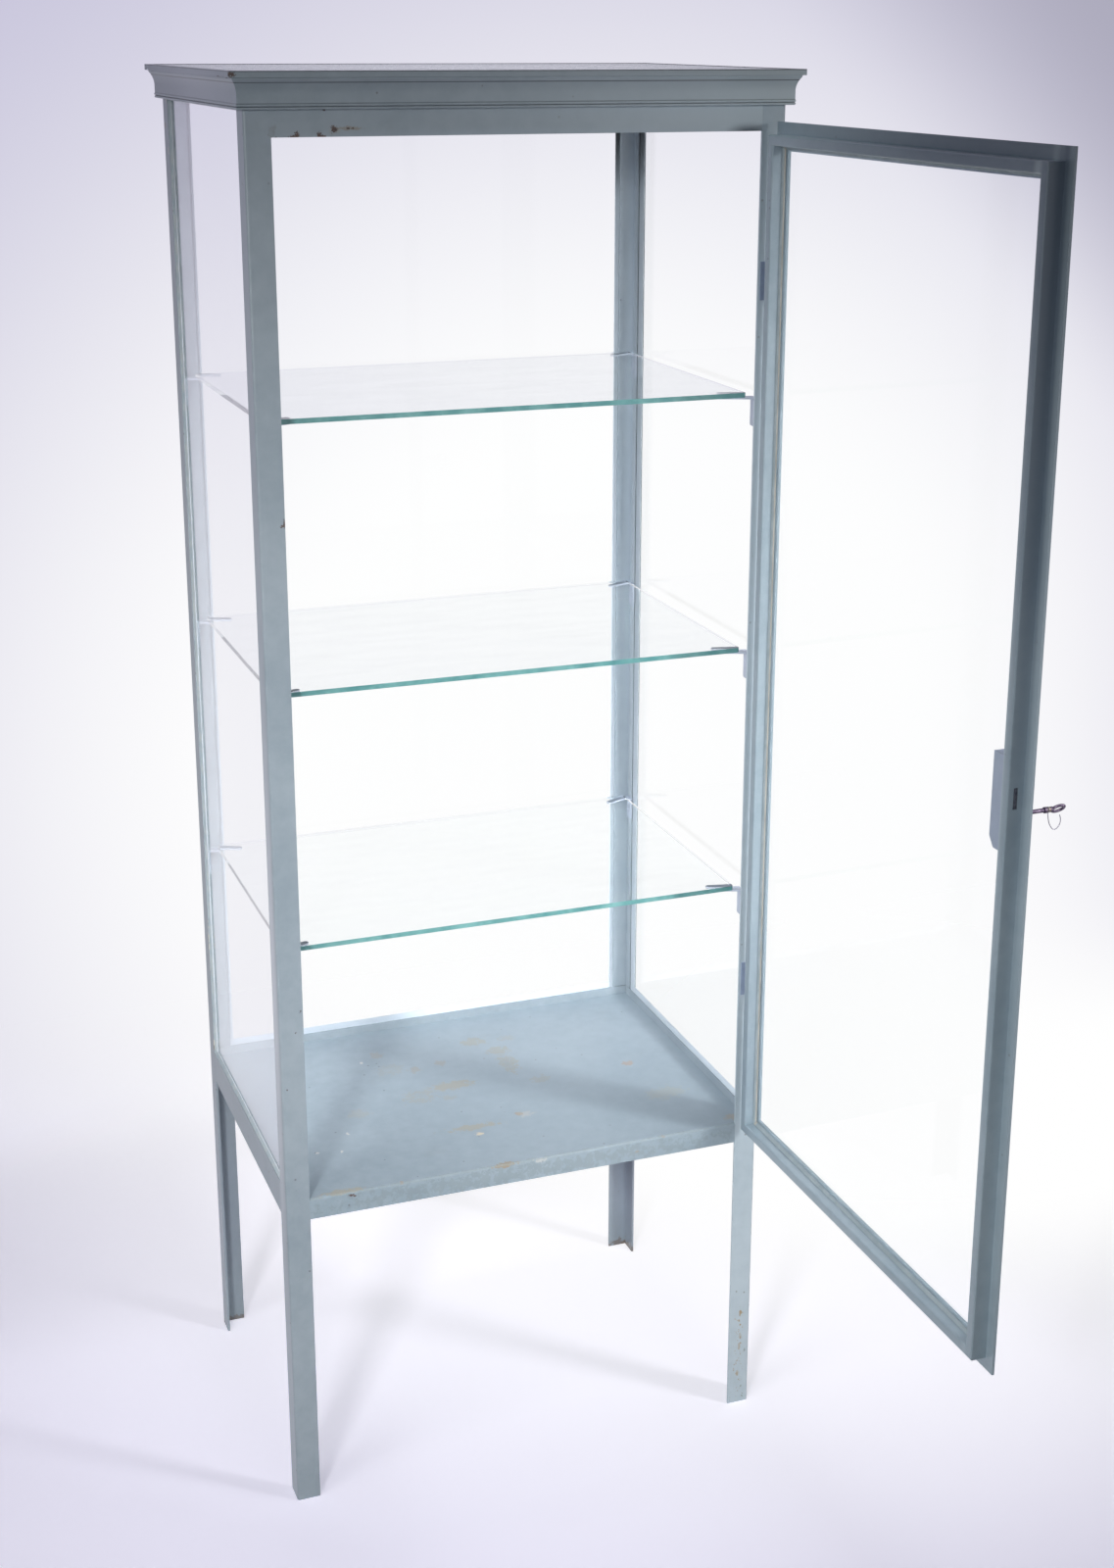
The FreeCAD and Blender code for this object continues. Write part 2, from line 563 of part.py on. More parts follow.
pins = []
for level, name in zip(hinge_levels, ("upper", "lower")):
    z0 = level - hinge_height / 2
    step = hinge_height / 3
    ends = [(z0, z0 + step - knuckle_play), (z0 + 2 * step + knuckle_play, z0 + hinge_height)]
    mid = (z0 + step, z0 + 2 * step)
    room = knuckle_radius + knuckle_play
    spots = [(leaf_screw_x, level - leaf_screw_rise), (leaf_screw_x, level + leaf_screw_rise)]
    leaf = block(opening_half + leaf_inset, hinge_x, -half_d - leaf_thick, -half_d, z0, z0 + hinge_height)
    leaf = leaf.cut(knuckle(room, mid[0] - knuckle_play, mid[1] + knuckle_play))
    leaf = leaf.fuse([knuckle(knuckle_radius, *end) for end in ends])
    leaf = leaf.cut(knuckle(pin_radius, z0 - 1, z0 + hinge_height + 1)).removeSplitter()
    leaf = screw_holes(leaf, spots, screw_radius + 0.02, -half_d - 9, -half_d + 9)
    save("hinge_leaf_post_" + name, leaf.Solids[0])
    spots = [(door_screws[0][0], level - leaf_screw_rise), (door_screws[0][0], level + leaf_screw_rise)]
    leaf = block(hinge_x - leaf_reach - 4.0, hinge_x, hinge_y - leaf_thick, hinge_y, z0, z0 + hinge_height)
    for end in ends:
        leaf = leaf.cut(knuckle(room, end[0] - knuckle_play, end[1] + knuckle_play))
    leaf = leaf.fuse(knuckle(knuckle_radius, *mid))
    leaf = leaf.cut(knuckle(pin_radius + pin_play, z0 - 1, z0 + hinge_height + 1)).removeSplitter()
    leaf = screw_holes(leaf, spots, screw_radius + 0.02, hinge_y - 9, hinge_y + 9)
    save("hinge_leaf_door_" + name, swing(leaf.Solids[0]))
    pin = knuckle(pin_radius, z0, z0 + hinge_height)
    pin = pin.fuse([knuckle(3.8, z0 + hinge_height, z0 + hinge_height + 1.8), knuckle(3.8, z0 - 1.8, z0)])
    pins.append(pin.removeSplitter().Solids[0])
save("hinge_pins", *pins)
save("hinge_screws_post", *[rod(screw_radius, V(x, -half_d - leaf_thick, z), inward, leaf_thick + angle_thick + 1.2)
                            for x, z in post_screws])
heads = []
for x, z in door_screws:
    shank = rod(screw_radius, V(x, door_face - leaf_thick, z), inward, leaf_thick + flange_thick + 2.0)
    heads.append(shank.fuse(rod(3.6, V(x, door_face - leaf_thick - 1.1, z), inward, 1.1)).removeSplitter().Solids[0])
save("hinge_screws_door", *[swing(s) for s in heads])
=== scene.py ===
# %% [markdown]
# A steel and glass clinic cabinet
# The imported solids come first: they are the cabinet, in metres, with the door standing open.
# Everything below only dresses them: finishes, small marks, the room, the light and the camera.

# %% Load the cabinet
import json
import math
import bpy
from mathutils import Euler, Matrix, Vector


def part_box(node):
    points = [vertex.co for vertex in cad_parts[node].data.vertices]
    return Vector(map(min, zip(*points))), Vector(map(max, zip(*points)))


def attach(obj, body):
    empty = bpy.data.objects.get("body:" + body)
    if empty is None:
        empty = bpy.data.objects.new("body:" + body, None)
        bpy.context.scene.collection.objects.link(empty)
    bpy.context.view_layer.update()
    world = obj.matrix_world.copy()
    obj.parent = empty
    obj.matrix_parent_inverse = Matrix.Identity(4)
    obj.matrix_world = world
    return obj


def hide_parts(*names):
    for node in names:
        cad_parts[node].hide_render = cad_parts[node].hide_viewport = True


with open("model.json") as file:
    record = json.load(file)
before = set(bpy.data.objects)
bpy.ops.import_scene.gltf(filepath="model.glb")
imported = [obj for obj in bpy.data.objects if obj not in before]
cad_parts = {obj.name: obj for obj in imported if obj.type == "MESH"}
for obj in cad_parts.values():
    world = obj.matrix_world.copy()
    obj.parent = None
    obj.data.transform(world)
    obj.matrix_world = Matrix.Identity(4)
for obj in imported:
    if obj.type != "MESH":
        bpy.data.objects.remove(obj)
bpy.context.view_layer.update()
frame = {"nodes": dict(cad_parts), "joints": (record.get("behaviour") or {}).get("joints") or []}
nodes = frame["nodes"]
scene = bpy.context.scene

# %% [markdown]
# The camera
# The photograph looks down a little from the left, at eye height. The place, the angles and the focal
# length were solved from the corners of the posts and the tray, so they are written here as plain
# values. The frame is 1137 by 1600 pixels, and the long side spans the sensor. The lens's axis misses
# the middle of the frame by some tens of pixels, which a small shift makes up.

# %% Camera
image_tall = 1600.0
focal_pixels = 2272.614
centre_off = (18.146, -57.923)
sensor_tall = 36.0
view_reach = 60.0
eye = (-0.858686, -2.644552, 1.819592)
look_down = 17.396
look_right = 20.794
lean = 0.186
camera_data = bpy.data.cameras.new("camera")
camera_data.sensor_fit = "VERTICAL"
camera_data.sensor_height = sensor_tall
camera_data.lens = focal_pixels / image_tall * sensor_tall
camera_data.shift_x = -centre_off[0] / image_tall
camera_data.shift_y = centre_off[1] / image_tall
camera_data.clip_end = view_reach
camera = bpy.data.objects.new("camera", camera_data)
scene.collection.objects.link(camera)
aim = Euler((math.radians(90 - look_down), 0.0, math.radians(-look_right))).to_matrix()
aim = aim @ Matrix.Rotation(math.radians(lean), 3, "Z")
camera.matrix_world = Matrix.Translation(eye) @ aim.to_4x4()
scene.camera = camera
print("lens", round(camera_data.lens, 2), "mm")

# %% [markdown]
# Writing finishes as sums
# A finish is a tree of nodes, but most of it is arithmetic on masks. One small class wraps an output
# socket and overloads the operators, so that a mask can be written as a formula. Any other node is
# made by one method, which sets the node's own settings first and then its sockets.


# %% Sockets with arithmetic
class Mask:
    """An output socket of a node tree that takes part in sums."""

    def __init__(self, tree, socket=None):
        self.tree = tree
        self.socket = socket

    def node(self, kind, settings, inputs, out=0):
        """Add one node: its settings first, then the values or links of its sockets."""
        made = self.tree.nodes.new(kind)
        for key, value in settings.items():
            setattr(made, key, value)
        for key, value in inputs.items():
            if isinstance(value, Mask):
                self.tree.links.new(value.socket, made.inputs[key])
            else:
                made.inputs[key].default_value = value
        return Mask(self.tree, made.outputs[out])

    def maths(self, operation, *values):
        return self.node("ShaderNodeMath", {"operation": operation}, dict(enumerate(values)))

    def __add__(self, other):
        return self.maths("ADD", self, other)

    def __radd__(self, other):
        return self.maths("ADD", other, self)

    def __sub__(self, other):
        return self.maths("SUBTRACT", self, other)

    def __rsub__(self, other):
        return self.maths("SUBTRACT", other, self)

    def __mul__(self, other):
        return self.maths("MULTIPLY", self, other)

    def __rmul__(self, other):
        return self.maths("MULTIPLY", other, self)

    def __abs__(self):
        return self.maths("ABSOLUTE", self)

    def either(self, other):
        return self.maths("MAXIMUM", self, other)

    def ramp(self, low, high, at_low=0.0, at_high=1.0):
        """Smooth step from one value to another."""
        return self.node("ShaderNodeMapRange", {"interpolation_type": "SMOOTHSTEP"},
                         {0: self, 1: low, 2: high, 3: at_low, 4: at_high})

    def noise(self, place, scale, detail, roughness, seed, out=0):
        return self.node("ShaderNodeTexNoise", {"noise_dimensions": "4D"},
                         {"Vector": place, "W": seed, "Scale": scale, "Detail": detail,
                          "Roughness": roughness}, out)

    def axes(self, place):
        """The x, y and z of a place as three masks."""
        first = self.node("ShaderNodeSeparateXYZ", {}, {0: place})
        return [Mask(self.tree, socket) for socket in first.socket.node.outputs]

    def colour(self, share, under, over):
        """Lay one colour over another by a share."""
        return self.node("ShaderNodeMix", {"data_type": "RGBA"},
                         {0: share, 6: rgba(under), 7: rgba(over)}, 2)

    def vector(self, operation, first, second):
        return self.node("ShaderNodeVectorMath", {"operation": operation}, {0: first, 1: second})

    def stretched(self, place, x, y, z):
        return self.vector("MULTIPLY", place, (x, y, z))

    def length(self, place):
        return self.node("ShaderNodeVectorMath", {"operation": "LENGTH"}, {0: place}, "Value")

    def moved(self, place, shift, rotation):
        """The same place after a turn and a shift."""
        return self.node("ShaderNodeMapping", {},
                         {"Vector": place, "Location": shift, "Rotation": rotation})

    def wobble(self, place, scale, seed):
        """A vector noise about zero, used to fray the outline of patches."""
        bend = self.noise(place, scale, 4.0, 0.7, seed, "Color")
        return self.vector("SUBTRACT", bend, (0.5, 0.5, 0.5))

    def near(self, place, centre, reach):
        """The way from a centre, counted in half sizes of a patch."""
        return self.stretched(self.vector("SUBTRACT", place, centre), *[1.0 / r for r in reach])

    def shade(self, place, centre, reach):
        """A wide soft patch without an outline."""
        return self.length(self.near(place, centre, reach)).ramp(1.0, 0.0)

    def spot(self, place, fray, centre, reach, hollow=0.0):
        """A ragged patch round a point; reach is its half size along x, y and z."""
        far = self.length(self.vector("ADD", self.near(place, centre, reach), fray))
        patch = far.ramp(1.0, 0.75)
        return patch * far.ramp(0.35, 0.85, 1.0 - hollow, 1.0) if hollow else patch


def rgba(colour):
    """Three numbers become a colour with alpha; a mask passes through."""
    return colour if isinstance(colour, Mask) or len(colour) == 4 else (*colour, 1.0)


def finish(name):
    """A new material, the maker of its nodes, and its shader."""
    material = bpy.data.materials.new(name)
    material.use_nodes = True
    tree = material.node_tree
    return material, Mask(tree), tree.nodes["Principled BSDF"]


def feed(tree, shader, **sockets):
    """Set or link named sockets of a shader; underscores stand for spaces."""
    for key, value in sockets.items():
        socket = shader.inputs[key.replace("_", " ")]
        if isinstance(value, Mask):
            tree.links.new(value.socket, socket)
        else:
            socket.default_value = rgba(value) if isinstance(value, tuple) else value


def dress(material, *names):
    for name in names:
        nodes[name].data.materials.clear()
        nodes[name].data.materials.append(material)


print("mask class ready")

# %% [markdown]
# The old grey paint
# The cabinet was brushed or sprayed in a cool grey green, and has had decades of knocks. The colour
# drifts a little over each piece, specks of dirt sit on it, and where it was hit it has chipped to a
# brown primer and rust. Flat colour would look like plastic, so noise at several scales makes the drift,
# the specks and a faint brushed relief. The marks are placed by the cabinet's own coordinates, so they
# stay put. A mark takes a centre, a half size along each axis, a strength and a colour.

# %% Paint helper
paint_pale = (0.360, 0.421, 0.469)
paint_deep = (0.274, 0.335, 0.382)
speck_brown = (0.10, 0.085, 0.075)
grime_grey = (0.23, 0.25, 0.25)
# The colour of the painted shade in narrow grooves and gaps.
groove_shade = (0.05, 0.06, 0.07)
rust_dark = (0.070, 0.056, 0.056)
rust_brown = (0.15, 0.10, 0.08)
specks_per_metre = 75.0
speck_share = 0.55
grime_share = 0.22
chip_depth = 1.6
paint_relief = 0.0012


def aged_paint(name, turned=None, chips=(), stains=(), painted_light_and_shade=(), grooves=(), freckles=(),
               pale=paint_pale, deep=paint_deep, rough=0.36, sheen=0.5):
    """Worn gloss paint; turned maps the open door back to its closed place."""
    material, m, shader = finish(name)
    place = m.node("ShaderNodeTexCoord", {}, {}, "Object")
    if turned:
        place = m.moved(place, *turned)
    drift = m.noise(place, 4.0, 3.0, 0.55, 1.0)
    mottle = m.noise(place, 55.0, 4.0, 0.6, 2.0)
    share = (drift * 0.7 + mottle * 0.45).ramp(0.35, 0.80)
    colour = m.colour(share, deep, pale)
    grid = {"Vector": place, "Scale": specks_per_metre, "Randomness": 1.0}
    cells = m.node("ShaderNodeTexVoronoi", {"feature": "F1"}, grid, "Distance")
    picked = m.node("ShaderNodeTexVoronoi", {"feature": "F1"}, grid, "Color")
    picked = m.node("ShaderNodeSeparateColor", {}, {0: picked}, 0)
    specks = cells.ramp(0.14, 0.07) * picked.ramp(0.90, 0.92)
    colour = m.colour(specks * speck_share, colour, speck_brown)
    grime = m.noise(m.stretched(place, 9.0, 9.0, 1.6), 2.2, 4.0, 0.6, 3.0).ramp(0.58, 0.82)
    colour = m.colour(grime * grime_share, colour, grime_grey)
    # Soft patches of painted light and shade, laid over the paint.
    for centre, reach, strength, tint in painted_light_and_shade:
        colour = m.colour(m.shade(place, centre, reach) * strength, colour, tint)
    # Lines of painted shade that stand for narrow grooves and gaps.
    for level, thick, strength in grooves:
        line = abs(m.axes(place)[2] - level).ramp(thick, thick * 0.3)
        colour = m.colour(line * strength, colour, groove_shade)
    fray = m.stretched(m.wobble(place, 120.0, 11.0), 3.5, 3.5, 3.5) if stains else None
    for centre, reach, strength, tint, *hollow in stains:
        colour = m.colour(m.spot(place, fray, centre, reach, *hollow) * strength, colour, tint)
    for centre, reach, size, tint in freckles:
        dots = m.noise(place, 1.0 / size, 3.0, 0.6, 14.0).ramp(0.60, 0.66)
        colour = m.colour(dots * m.shade(place, centre, reach).ramp(0.0, 0.5), colour, tint)
    bare = None
    fray = m.stretched(m.wobble(place, 600.0, 12.0), 4.0, 4.0, 4.0) if chips else None
    for centre, reach in chips:
        one = m.spot(place, fray, centre, reach)
        bare = one if bare is None else bare.either(one)
    relief = m.noise(place, 420.0, 2.0, 0.5, 5.0) * 0.35 + m.noise(place, 38.0, 2.0, 0.5, 6.0)
    roughness = mottle * 0.16 + (rough - 0.08)
    if bare is not None:
        flecks = m.noise(place, 900.0, 2.0, 0.6, 7.0).ramp(0.42, 0.62)
        colour = m.colour(bare, colour, m.colour(flecks, rust_dark, rust_brown))
        relief = relief - bare * chip_depth
        roughness = roughness + bare * 0.35
    bump = m.node("ShaderNodeBump", {}, {"Strength": 0.10, "Distance": paint_relief, "Height": relief})
    feed(m.tree, shader, Base_Color=colour, Roughness=roughness, Normal=bump, IOR=1.48,
         Specular_IOR_Level=sheen)
    return material


print("paint helper ready")

# %% [markdown]
# Where the paint is marked
# Each mark is read off the photograph and carried back on to the piece it sits on: chips along the
# lower edge of the front header and on the front left post, stains beside them, pale specks on the
# back left post, and rust at the back feet. A picture could hold them, but a mark in space is a few
# plain numbers, tints any surface that passes through it, and stays sharp close up.

# %% Chips and stains of the frame
front = -0.225
frame_chips = [
    ((-0.2616, front, 1.7096), (0.0030, 0.006, 0.0042)),
    ((-0.2655, front, 1.7082), (0.0050, 0.006, 0.0021)),
    ((-0.2368, front, 1.7096), (0.0029, 0.006, 0.0042)),
    ((-0.2330, front, 1.7082), (0.0046, 0.006, 0.0021)),
    ((-0.2200, front, 1.7158), (0.0044, 0.006, 0.0038)),
    ((-0.2045, front, 1.7166), (0.0022, 0.006, 0.0014)),
    ((-0.1995, front, 1.7166), (0.0018, 0.006, 0.0012)),
    ((-0.2309, front, 1.7363), (0.0019, 0.006, 0.0015)),
    ((-0.2848, front, 1.7076), (0.0022, 0.006, 0.0013)),
    ((-0.2908, front, 1.2865), (0.0017, 0.006, 0.0058)),
    ((-0.2930, front, 1.2838), (0.0032, 0.006, 0.0019)),
    ((-0.2926, front, 0.6874), (0.0013, 0.006, 0.0013)),
    ((-0.3000, front, 0.6600), (0.0010, 0.006, 0.0012)),
    ((-0.3130, front, 0.5860), (0.0012, 0.006, 0.0014))]
cream = (0.66, 0.62, 0.52)
foot_rust = (0.20, 0.155, 0.12)
frame_stains = [
    ((-0.2050, front, 1.7166), (0.0170, 0.006, 0.0024), 0.60, (0.26, 0.22, 0.16)),
    ((-0.2203, front, 1.7150), (0.0060, 0.006, 0.0045), 0.50, (0.36, 0.38, 0.36), 0.8),
    ((-0.2895, front, 1.7145), (0.0050, 0.006, 0.0060), 0.45, (0.20, 0.21, 0.21), 0.6),
    ((-0.3200, 0.1960, 0.4640), (0.0060, 0.004, 0.0050), 0.85, cream),
    ((-0.3200, 0.1960, 0.4560), (0.0060, 0.004, 0.0040), 0.70, (0.30, 0.24, 0.16)),
    ((-0.3200, 0.2006, 1.7344), (0.0060, 0.0022, 0.0040), 0.85, cream),
    ((-0.3200, 0.2014, 1.6747), (0.0060, 0.0022, 0.0055), 0.85, cream),
    ((-0.3200, 0.2148, 1.7030), (0.0060, 0.0030, 0.0040), 0.70, (0.26, 0.20, 0.13)),
    ((-0.3200, 0.1965, 0.6100), (0.0060, 0.0018, 0.0500), 0.75, cream),
    ((-0.3200, 0.1970, 1.1500), (0.0060, 0.0014, 0.0600), 0.45, cream),
    ((0.3050, 0.2220, 0.0000), (0.0260, 0.012, 0.0110), 0.70, foot_rust),
    ((0.3170, 0.2050, 0.0000), (0.0100, 0.022, 0.0100), 0.70, foot_rust),
    ((-0.3050, 0.2220, 0.0000), (0.0260, 0.012, 0.0100), 0.70, foot_rust)]
print("frame chips", len(frame_chips), "stains", len(frame_stains))

# %% [markdown]
# The frame's tones
# The posts and headers don't share one grey: wide soft patches of painted light and shade lie over them.
# The right end of the header, the lower edge of the header, the back legs, the side of the front left
# post and one edge of the back right post get painted light; the rest of that post, the inner face of its
# leg and the header's lower right corner get painted shade. Each patch is a soft ball without an outline,
# laid over the paint.

# %% Frame paint
# Painted light on the right end and the lower edge of the header, and a painted shadow in its lower right
# corner.
header_shadow_tint = (0.07, 0.09, 0.12)
painted_header_light = [
    ((0.42, -0.230, 1.7450), (0.62, 0.060, 0.12), 0.95, (0.70, 0.81, 0.87)),
    ((0.00, -0.225, 1.7065), (0.45, 0.020, 0.012), 0.30, (0.50, 0.60, 0.70)),
    ((0.272, -0.226, 1.7070), (0.036, 0.020, 0.013), 0.85, header_shadow_tint)]
# Painted light and shade on the back right post and its leg, and painted light on the back left leg and
# on the side of the front left post.
painted_post_light_and_shade = [
    ((0.29, 0.20, 1.05), (0.14, 0.08, 0.85), 0.45, (0.18, 0.24, 0.30)),
    ((0.310, 0.2165, 1.40), (0.016, 0.008, 0.80), 0.52, (0.55, 0.65, 0.74)),
    ((0.3125, 0.207, 1.05), (0.0035, 0.014, 1.00), 0.75, (0.66, 0.74, 0.80)),
    ((0.31, 0.21, 0.18), (0.05, 0.05, 0.26), 0.85, (0.55, 0.62, 0.74)),
    ((0.317, 0.205, 0.20), (0.007, 0.040, 0.30), 0.75, (0.17, 0.18, 0.24)),
    ((-0.31, 0.21, 0.20), (0.05, 0.05, 0.28), 0.42, (0.50, 0.56, 0.68)),
    ((-0.32, -0.205, 0.70), (0.006, 0.024, 0.55), 0.60, (0.75, 0.78, 0.84))]
cabinet_paint = aged_paint("cabinet_paint", chips=frame_chips, stains=frame_stains,
                           painted_light_and_shade=painted_header_light + painted_post_light_and_shade)
frame_words = ("post_", "header_", "sill_", "corner_bead", "head_beads")
frame_names = [name for name in nodes if name.startswith(frame_words)]
dress(cabinet_paint, *frame_names)
print("painted", len(frame_names), "frame pieces")

# %% [markdown]
# The front right post, the brackets and the cornice
# The front right post gets a paler copy of the paint, a painted light, with more painted light on its
# upper part, and its leg is dotted with rust: larger stains where the photo shows them, and between them
# freckles cut from noise. The brackets are paler too. The cornice has fine grooves along it, narrower
# than its solid moulding shows, so lines of painted shade at four levels stand for them and for the gap
# under the top sheet. It shares the header's painted light at its right end, its left side gets painted
# light as well, and one corner is chipped.

# %% Right post, bracket and cornice paint
ochre = (0.40, 0.30, 0.17)
dull_green = (0.22, 0.25, 0.22)
leg_rust = [
    ((0.3054, front, 0.1410), (0.0022, 0.006, 0.0046), 0.85, ochre),
    ((0.3037, front, 0.1289), (0.0018, 0.006, 0.0026), 0.75, ochre),
    ((0.3064, front, 0.1047), (0.0026, 0.006, 0.0050), 0.40, (0.42, 0.36, 0.25)),
    ((0.3055, front, 0.0879), (0.0020, 0.006, 0.0044), 0.55, ochre),
    ((0.3135, front, 0.0800), (0.0016, 0.006, 0.0030), 0.60, dull_green),
    ((0.3031, front, 0.0459), (0.0022, 0.006, 0.0050), 0.70, ochre),
    ((0.3094, front, 0.0242), (0.0014, 0.006, 0.0020), 0.60, dull_green),
    ((0.2989, front, 0.1753), (0.0016, 0.006, 0.0022), 0.60, dull_green),
    ((0.3109, front, 0.1713), (0.0018, 0.006, 0.0018), 0.65, dull_green)]
rust_freckles = [
    ((0.3040, front, 0.1200), (0.0090, 0.02, 0.0650), 0.0042, ochre),
    ((0.3040, front, 0.0650), (0.0110, 0.02, 0.0700), 0.0034, (0.38, 0.30, 0.19)),
    ((0.3050, front, 0.0100), (0.0200, 0.03, 0.0160), 0.0050, dull_green)]
# Painted light on the upper part of the front right post.
painted_high_light = [((0.305, -0.225, 1.30), (0.05, 0.05, 0.75), 0.52, (0.72, 0.84, 0.92))]
bracket_paint = aged_paint("bracket_paint", pale=(0.53, 0.59, 0.70), deep=(0.42, 0.48, 0.58))
dress(bracket_paint, *[name for name in nodes if "bracket" in name])
# A paler copy of the frame paint as painted light, with real rust on the leg.
lit_rusted_post_paint = aged_paint("lit_rusted_post_paint", stains=leg_rust, painted_light_and_shade=painted_high_light, freckles=rust_freckles,
                        pale=(0.53, 0.62, 0.68), deep=(0.42, 0.51, 0.57))
dress(lit_rusted_post_paint, "post_front_right")
cornice_chips = [
    ((-0.3345, -0.2415, 1.7735), (0.0050, 0.005, 0.0032)),
    ((-0.334, -0.215, 1.7700), (0.0040, 0.006, 0.0010)),
    ((-0.334, -0.190, 1.7705), (0.0050, 0.008, 0.0010))]
# Lines of painted shade for the cornice's grooves and for the gap under the top sheet.
cornice_groove_shades = [
    (1.7649, 0.0009, 0.75),
    (1.7767, 0.0012, 0.80),
    (1.7432, 0.0008, 0.55),
    (1.7398, 0.0008, 0.60)]
# Painted light on the cornice's left side.
painted_side_light = [((-0.335, 0.0, 1.765), (0.030, 0.260, 0.06), 0.50, (0.60, 0.64, 0.74))]
cornice_paint = aged_paint("cornice_paint", chips=cornice_chips, painted_light_and_shade=painted_header_light + painted_side_light,
                           grooves=cornice_groove_shades)
dress(cornice_paint, *[name for name in nodes if name.startswith("cornice_")])
print("leg stains", len(leg_rust), "cornice chips", len(cornice_chips), "grooves", len(cornice_groove_shades))

# %% [markdown]
# The tray and the top sheet
# The tray is where things stood and leaked: sandy patches, some of them only a ring, brown drips, pale
# dots and a dirty line along the rolled lip. They are marks in space like those of the frame, flat ones
# on the deck. A last number hollows a stain into a ring. A wide painted shade darkens the front face of
# the lip, and a wide painted light lifts the middle and right of the deck. The tray is duller than the
# posts, and the top sheet, seen almost edge on, is a plain worn grey.

# %% Tray and top sheet paint
deck = 0.432
sand = (0.42, 0.38, 0.28)
tea = (0.40, 0.33, 0.24)
bone = (0.66, 0.66, 0.62)
tray_stains = [
    ((-0.0300, 0.012, deck), (0.034, 0.013, 0.01), 0.52, sand),
    ((0.0657, 0.050, deck), (0.014, 0.030, 0.01), 0.48, sand, 0.55),
    ((0.0418, 0.133, deck), (0.020, 0.014, 0.01), 0.40, sand),
    ((0.0654, 0.094, deck), (0.016, 0.014, 0.01), 0.38, sand),
    ((0.0911, -0.012, deck), (0.016, 0.012, 0.01), 0.26, sand),
    ((-0.0797, -0.005, deck), (0.024, 0.020, 0.01), 0.45, sand, 0.85),
    ((-0.0959, 0.087, deck), (0.020, 0.018, 0.01), 0.26, sand, 0.70),
    ((-0.1723, -0.026, deck), (0.016, 0.012, 0.01), 0.22, sand),
    ((0.0909, 0.129, deck), (0.014, 0.010, 0.01), 0.24, sand),
    ((-0.0444, -0.022, deck), (0.010, 0.008, 0.01), 0.26, sand),
    ((0.0380, -0.103, deck), (0.012, 0.008, 0.01), 0.35, (0.62, 0.58, 0.50)),
    ((-0.0400, -0.114, deck), (0.040, 0.009, 0.01), 0.55, sand),
    ((-0.0373, -0.135, deck), (0.005, 0.006, 0.01), 0.85, (0.70, 0.62, 0.46)),
    ((0.0291, -0.098, deck), (0.006, 0.006, 0.01), 0.70, tea),
    ((0.2240, -0.009, deck), (0.009, 0.008, 0.01), 0.55, (0.48, 0.34, 0.24)),
    ((-0.0626, 0.075, deck), (0.010, 0.010, 0.01), 0.35, tea),
    ((-0.0227, 0.083, deck), (0.009, 0.010, 0.01), 0.35, tea),
    ((-0.1010, 0.139, deck), (0.010, 0.012, 0.01), 0.30, tea),
    ((-0.1273, 0.122, deck), (0.003, 0.004, 0.01), 0.80, bone),
    ((-0.2004, -0.075, deck), (0.003, 0.004, 0.01), 0.80, bone),
    ((-0.2203, -0.119, deck), (0.003, 0.003, 0.01), 0.80, bone),
    ((-0.2513, -0.113, deck), (0.003, 0.003, 0.01), 0.80, bone),
    ((0.2390, -0.110, deck), (0.030, 0.018, 0.01), 0.22, (0.50, 0.47, 0.34)),
    ((0.2940, -0.207, deck), (0.011, 0.009, 0.01), 0.42, (0.46, 0.36, 0.24)),
    ((-0.0315, -0.224, 0.4305), (0.016, 0.006, 0.004), 0.75, ochre),
    ((0.0139, -0.224, 0.4290), (0.010, 0.006, 0.003), 0.60, bone),
    ((-0.2500, -0.221, 0.4318), (0.032, 0.008, 0.0020), 0.65, sand),
    ((-0.1711, -0.223, 0.4312), (0.003, 0.004, 0.002), 0.70, tea),
    ((0.1879, -0.224, 0.4300), (0.004, 0.004, 0.002), 0.60, tea),
    ((0.1491, -0.225, 0.4163), (0.003, 0.006, 0.002), 0.60, tea),
    # A wide painted shade over the front face of the lip.
    ((0.0, -0.228, 0.4160), (0.400, 0.005, 0.016), 0.32, (0.22, 0.26, 0.27)),
    ((0.0, -0.2245, 0.4315), (0.500, 0.0028, 0.0022), 0.45, (0.27, 0.31, 0.32))]
tray_chips = [
    ((-0.2363, front, 0.4275), (0.0042, 0.004, 0.0016)),
    ((-0.2325, front, 0.4255), (0.0022, 0.004, 0.0018))]
# Painted light over the middle and right of the deck.
painted_tray_light = [((0.12, -0.02, deck), (0.42, 0.42, 0.05), 0.36, (0.47, 0.57, 0.64))]
tray_paint = aged_paint("tray_paint", chips=tray_chips, stains=tray_stains, painted_light_and_shade=painted_tray_light,
                        pale=(0.375, 0.455, 0.515), deep=(0.285, 0.362, 0.420), rough=0.42, sheen=0.22)
dress(tray_paint, "bottom_tray")
top_paint = aged_paint("top_sheet_paint", pale=(0.55, 0.57, 0.61), deep=(0.43, 0.45, 0.49), rough=0.26)
dress(top_paint, "top_panel")
print("tray marks", len(tray_stains) + len(tray_chips))

# %% [markdown]
# The door's paint
# The door stands open, but its marks are easier to place as if it were closed. A Mapping node turns the
# coordinates back about the hinge pin, so the pattern rides with the door. Soft patches of painted shade
# darken the upper door, the ridge of the lock stile and the low part of the hinge stile, and patches of
# painted light lift the inner edge and outer flange of the lock stile.

# %% Door paint
hinge = next(joint for joint in frame["joints"] if joint["name"] == "door_hinge")
pin = Vector(hinge["pos_m"])
opened = math.radians(-hinge["range_deg"][0])
unturn = Matrix.Rotation(-opened, 3, "Z")
shift_back = pin - unturn @ pin
to_closed = ((shift_back.x, shift_back.y, 0.0), (0.0, 0.0, -opened))
# The colour of the painted shade on the door.
door_shade_tint = (0.085, 0.115, 0.165)
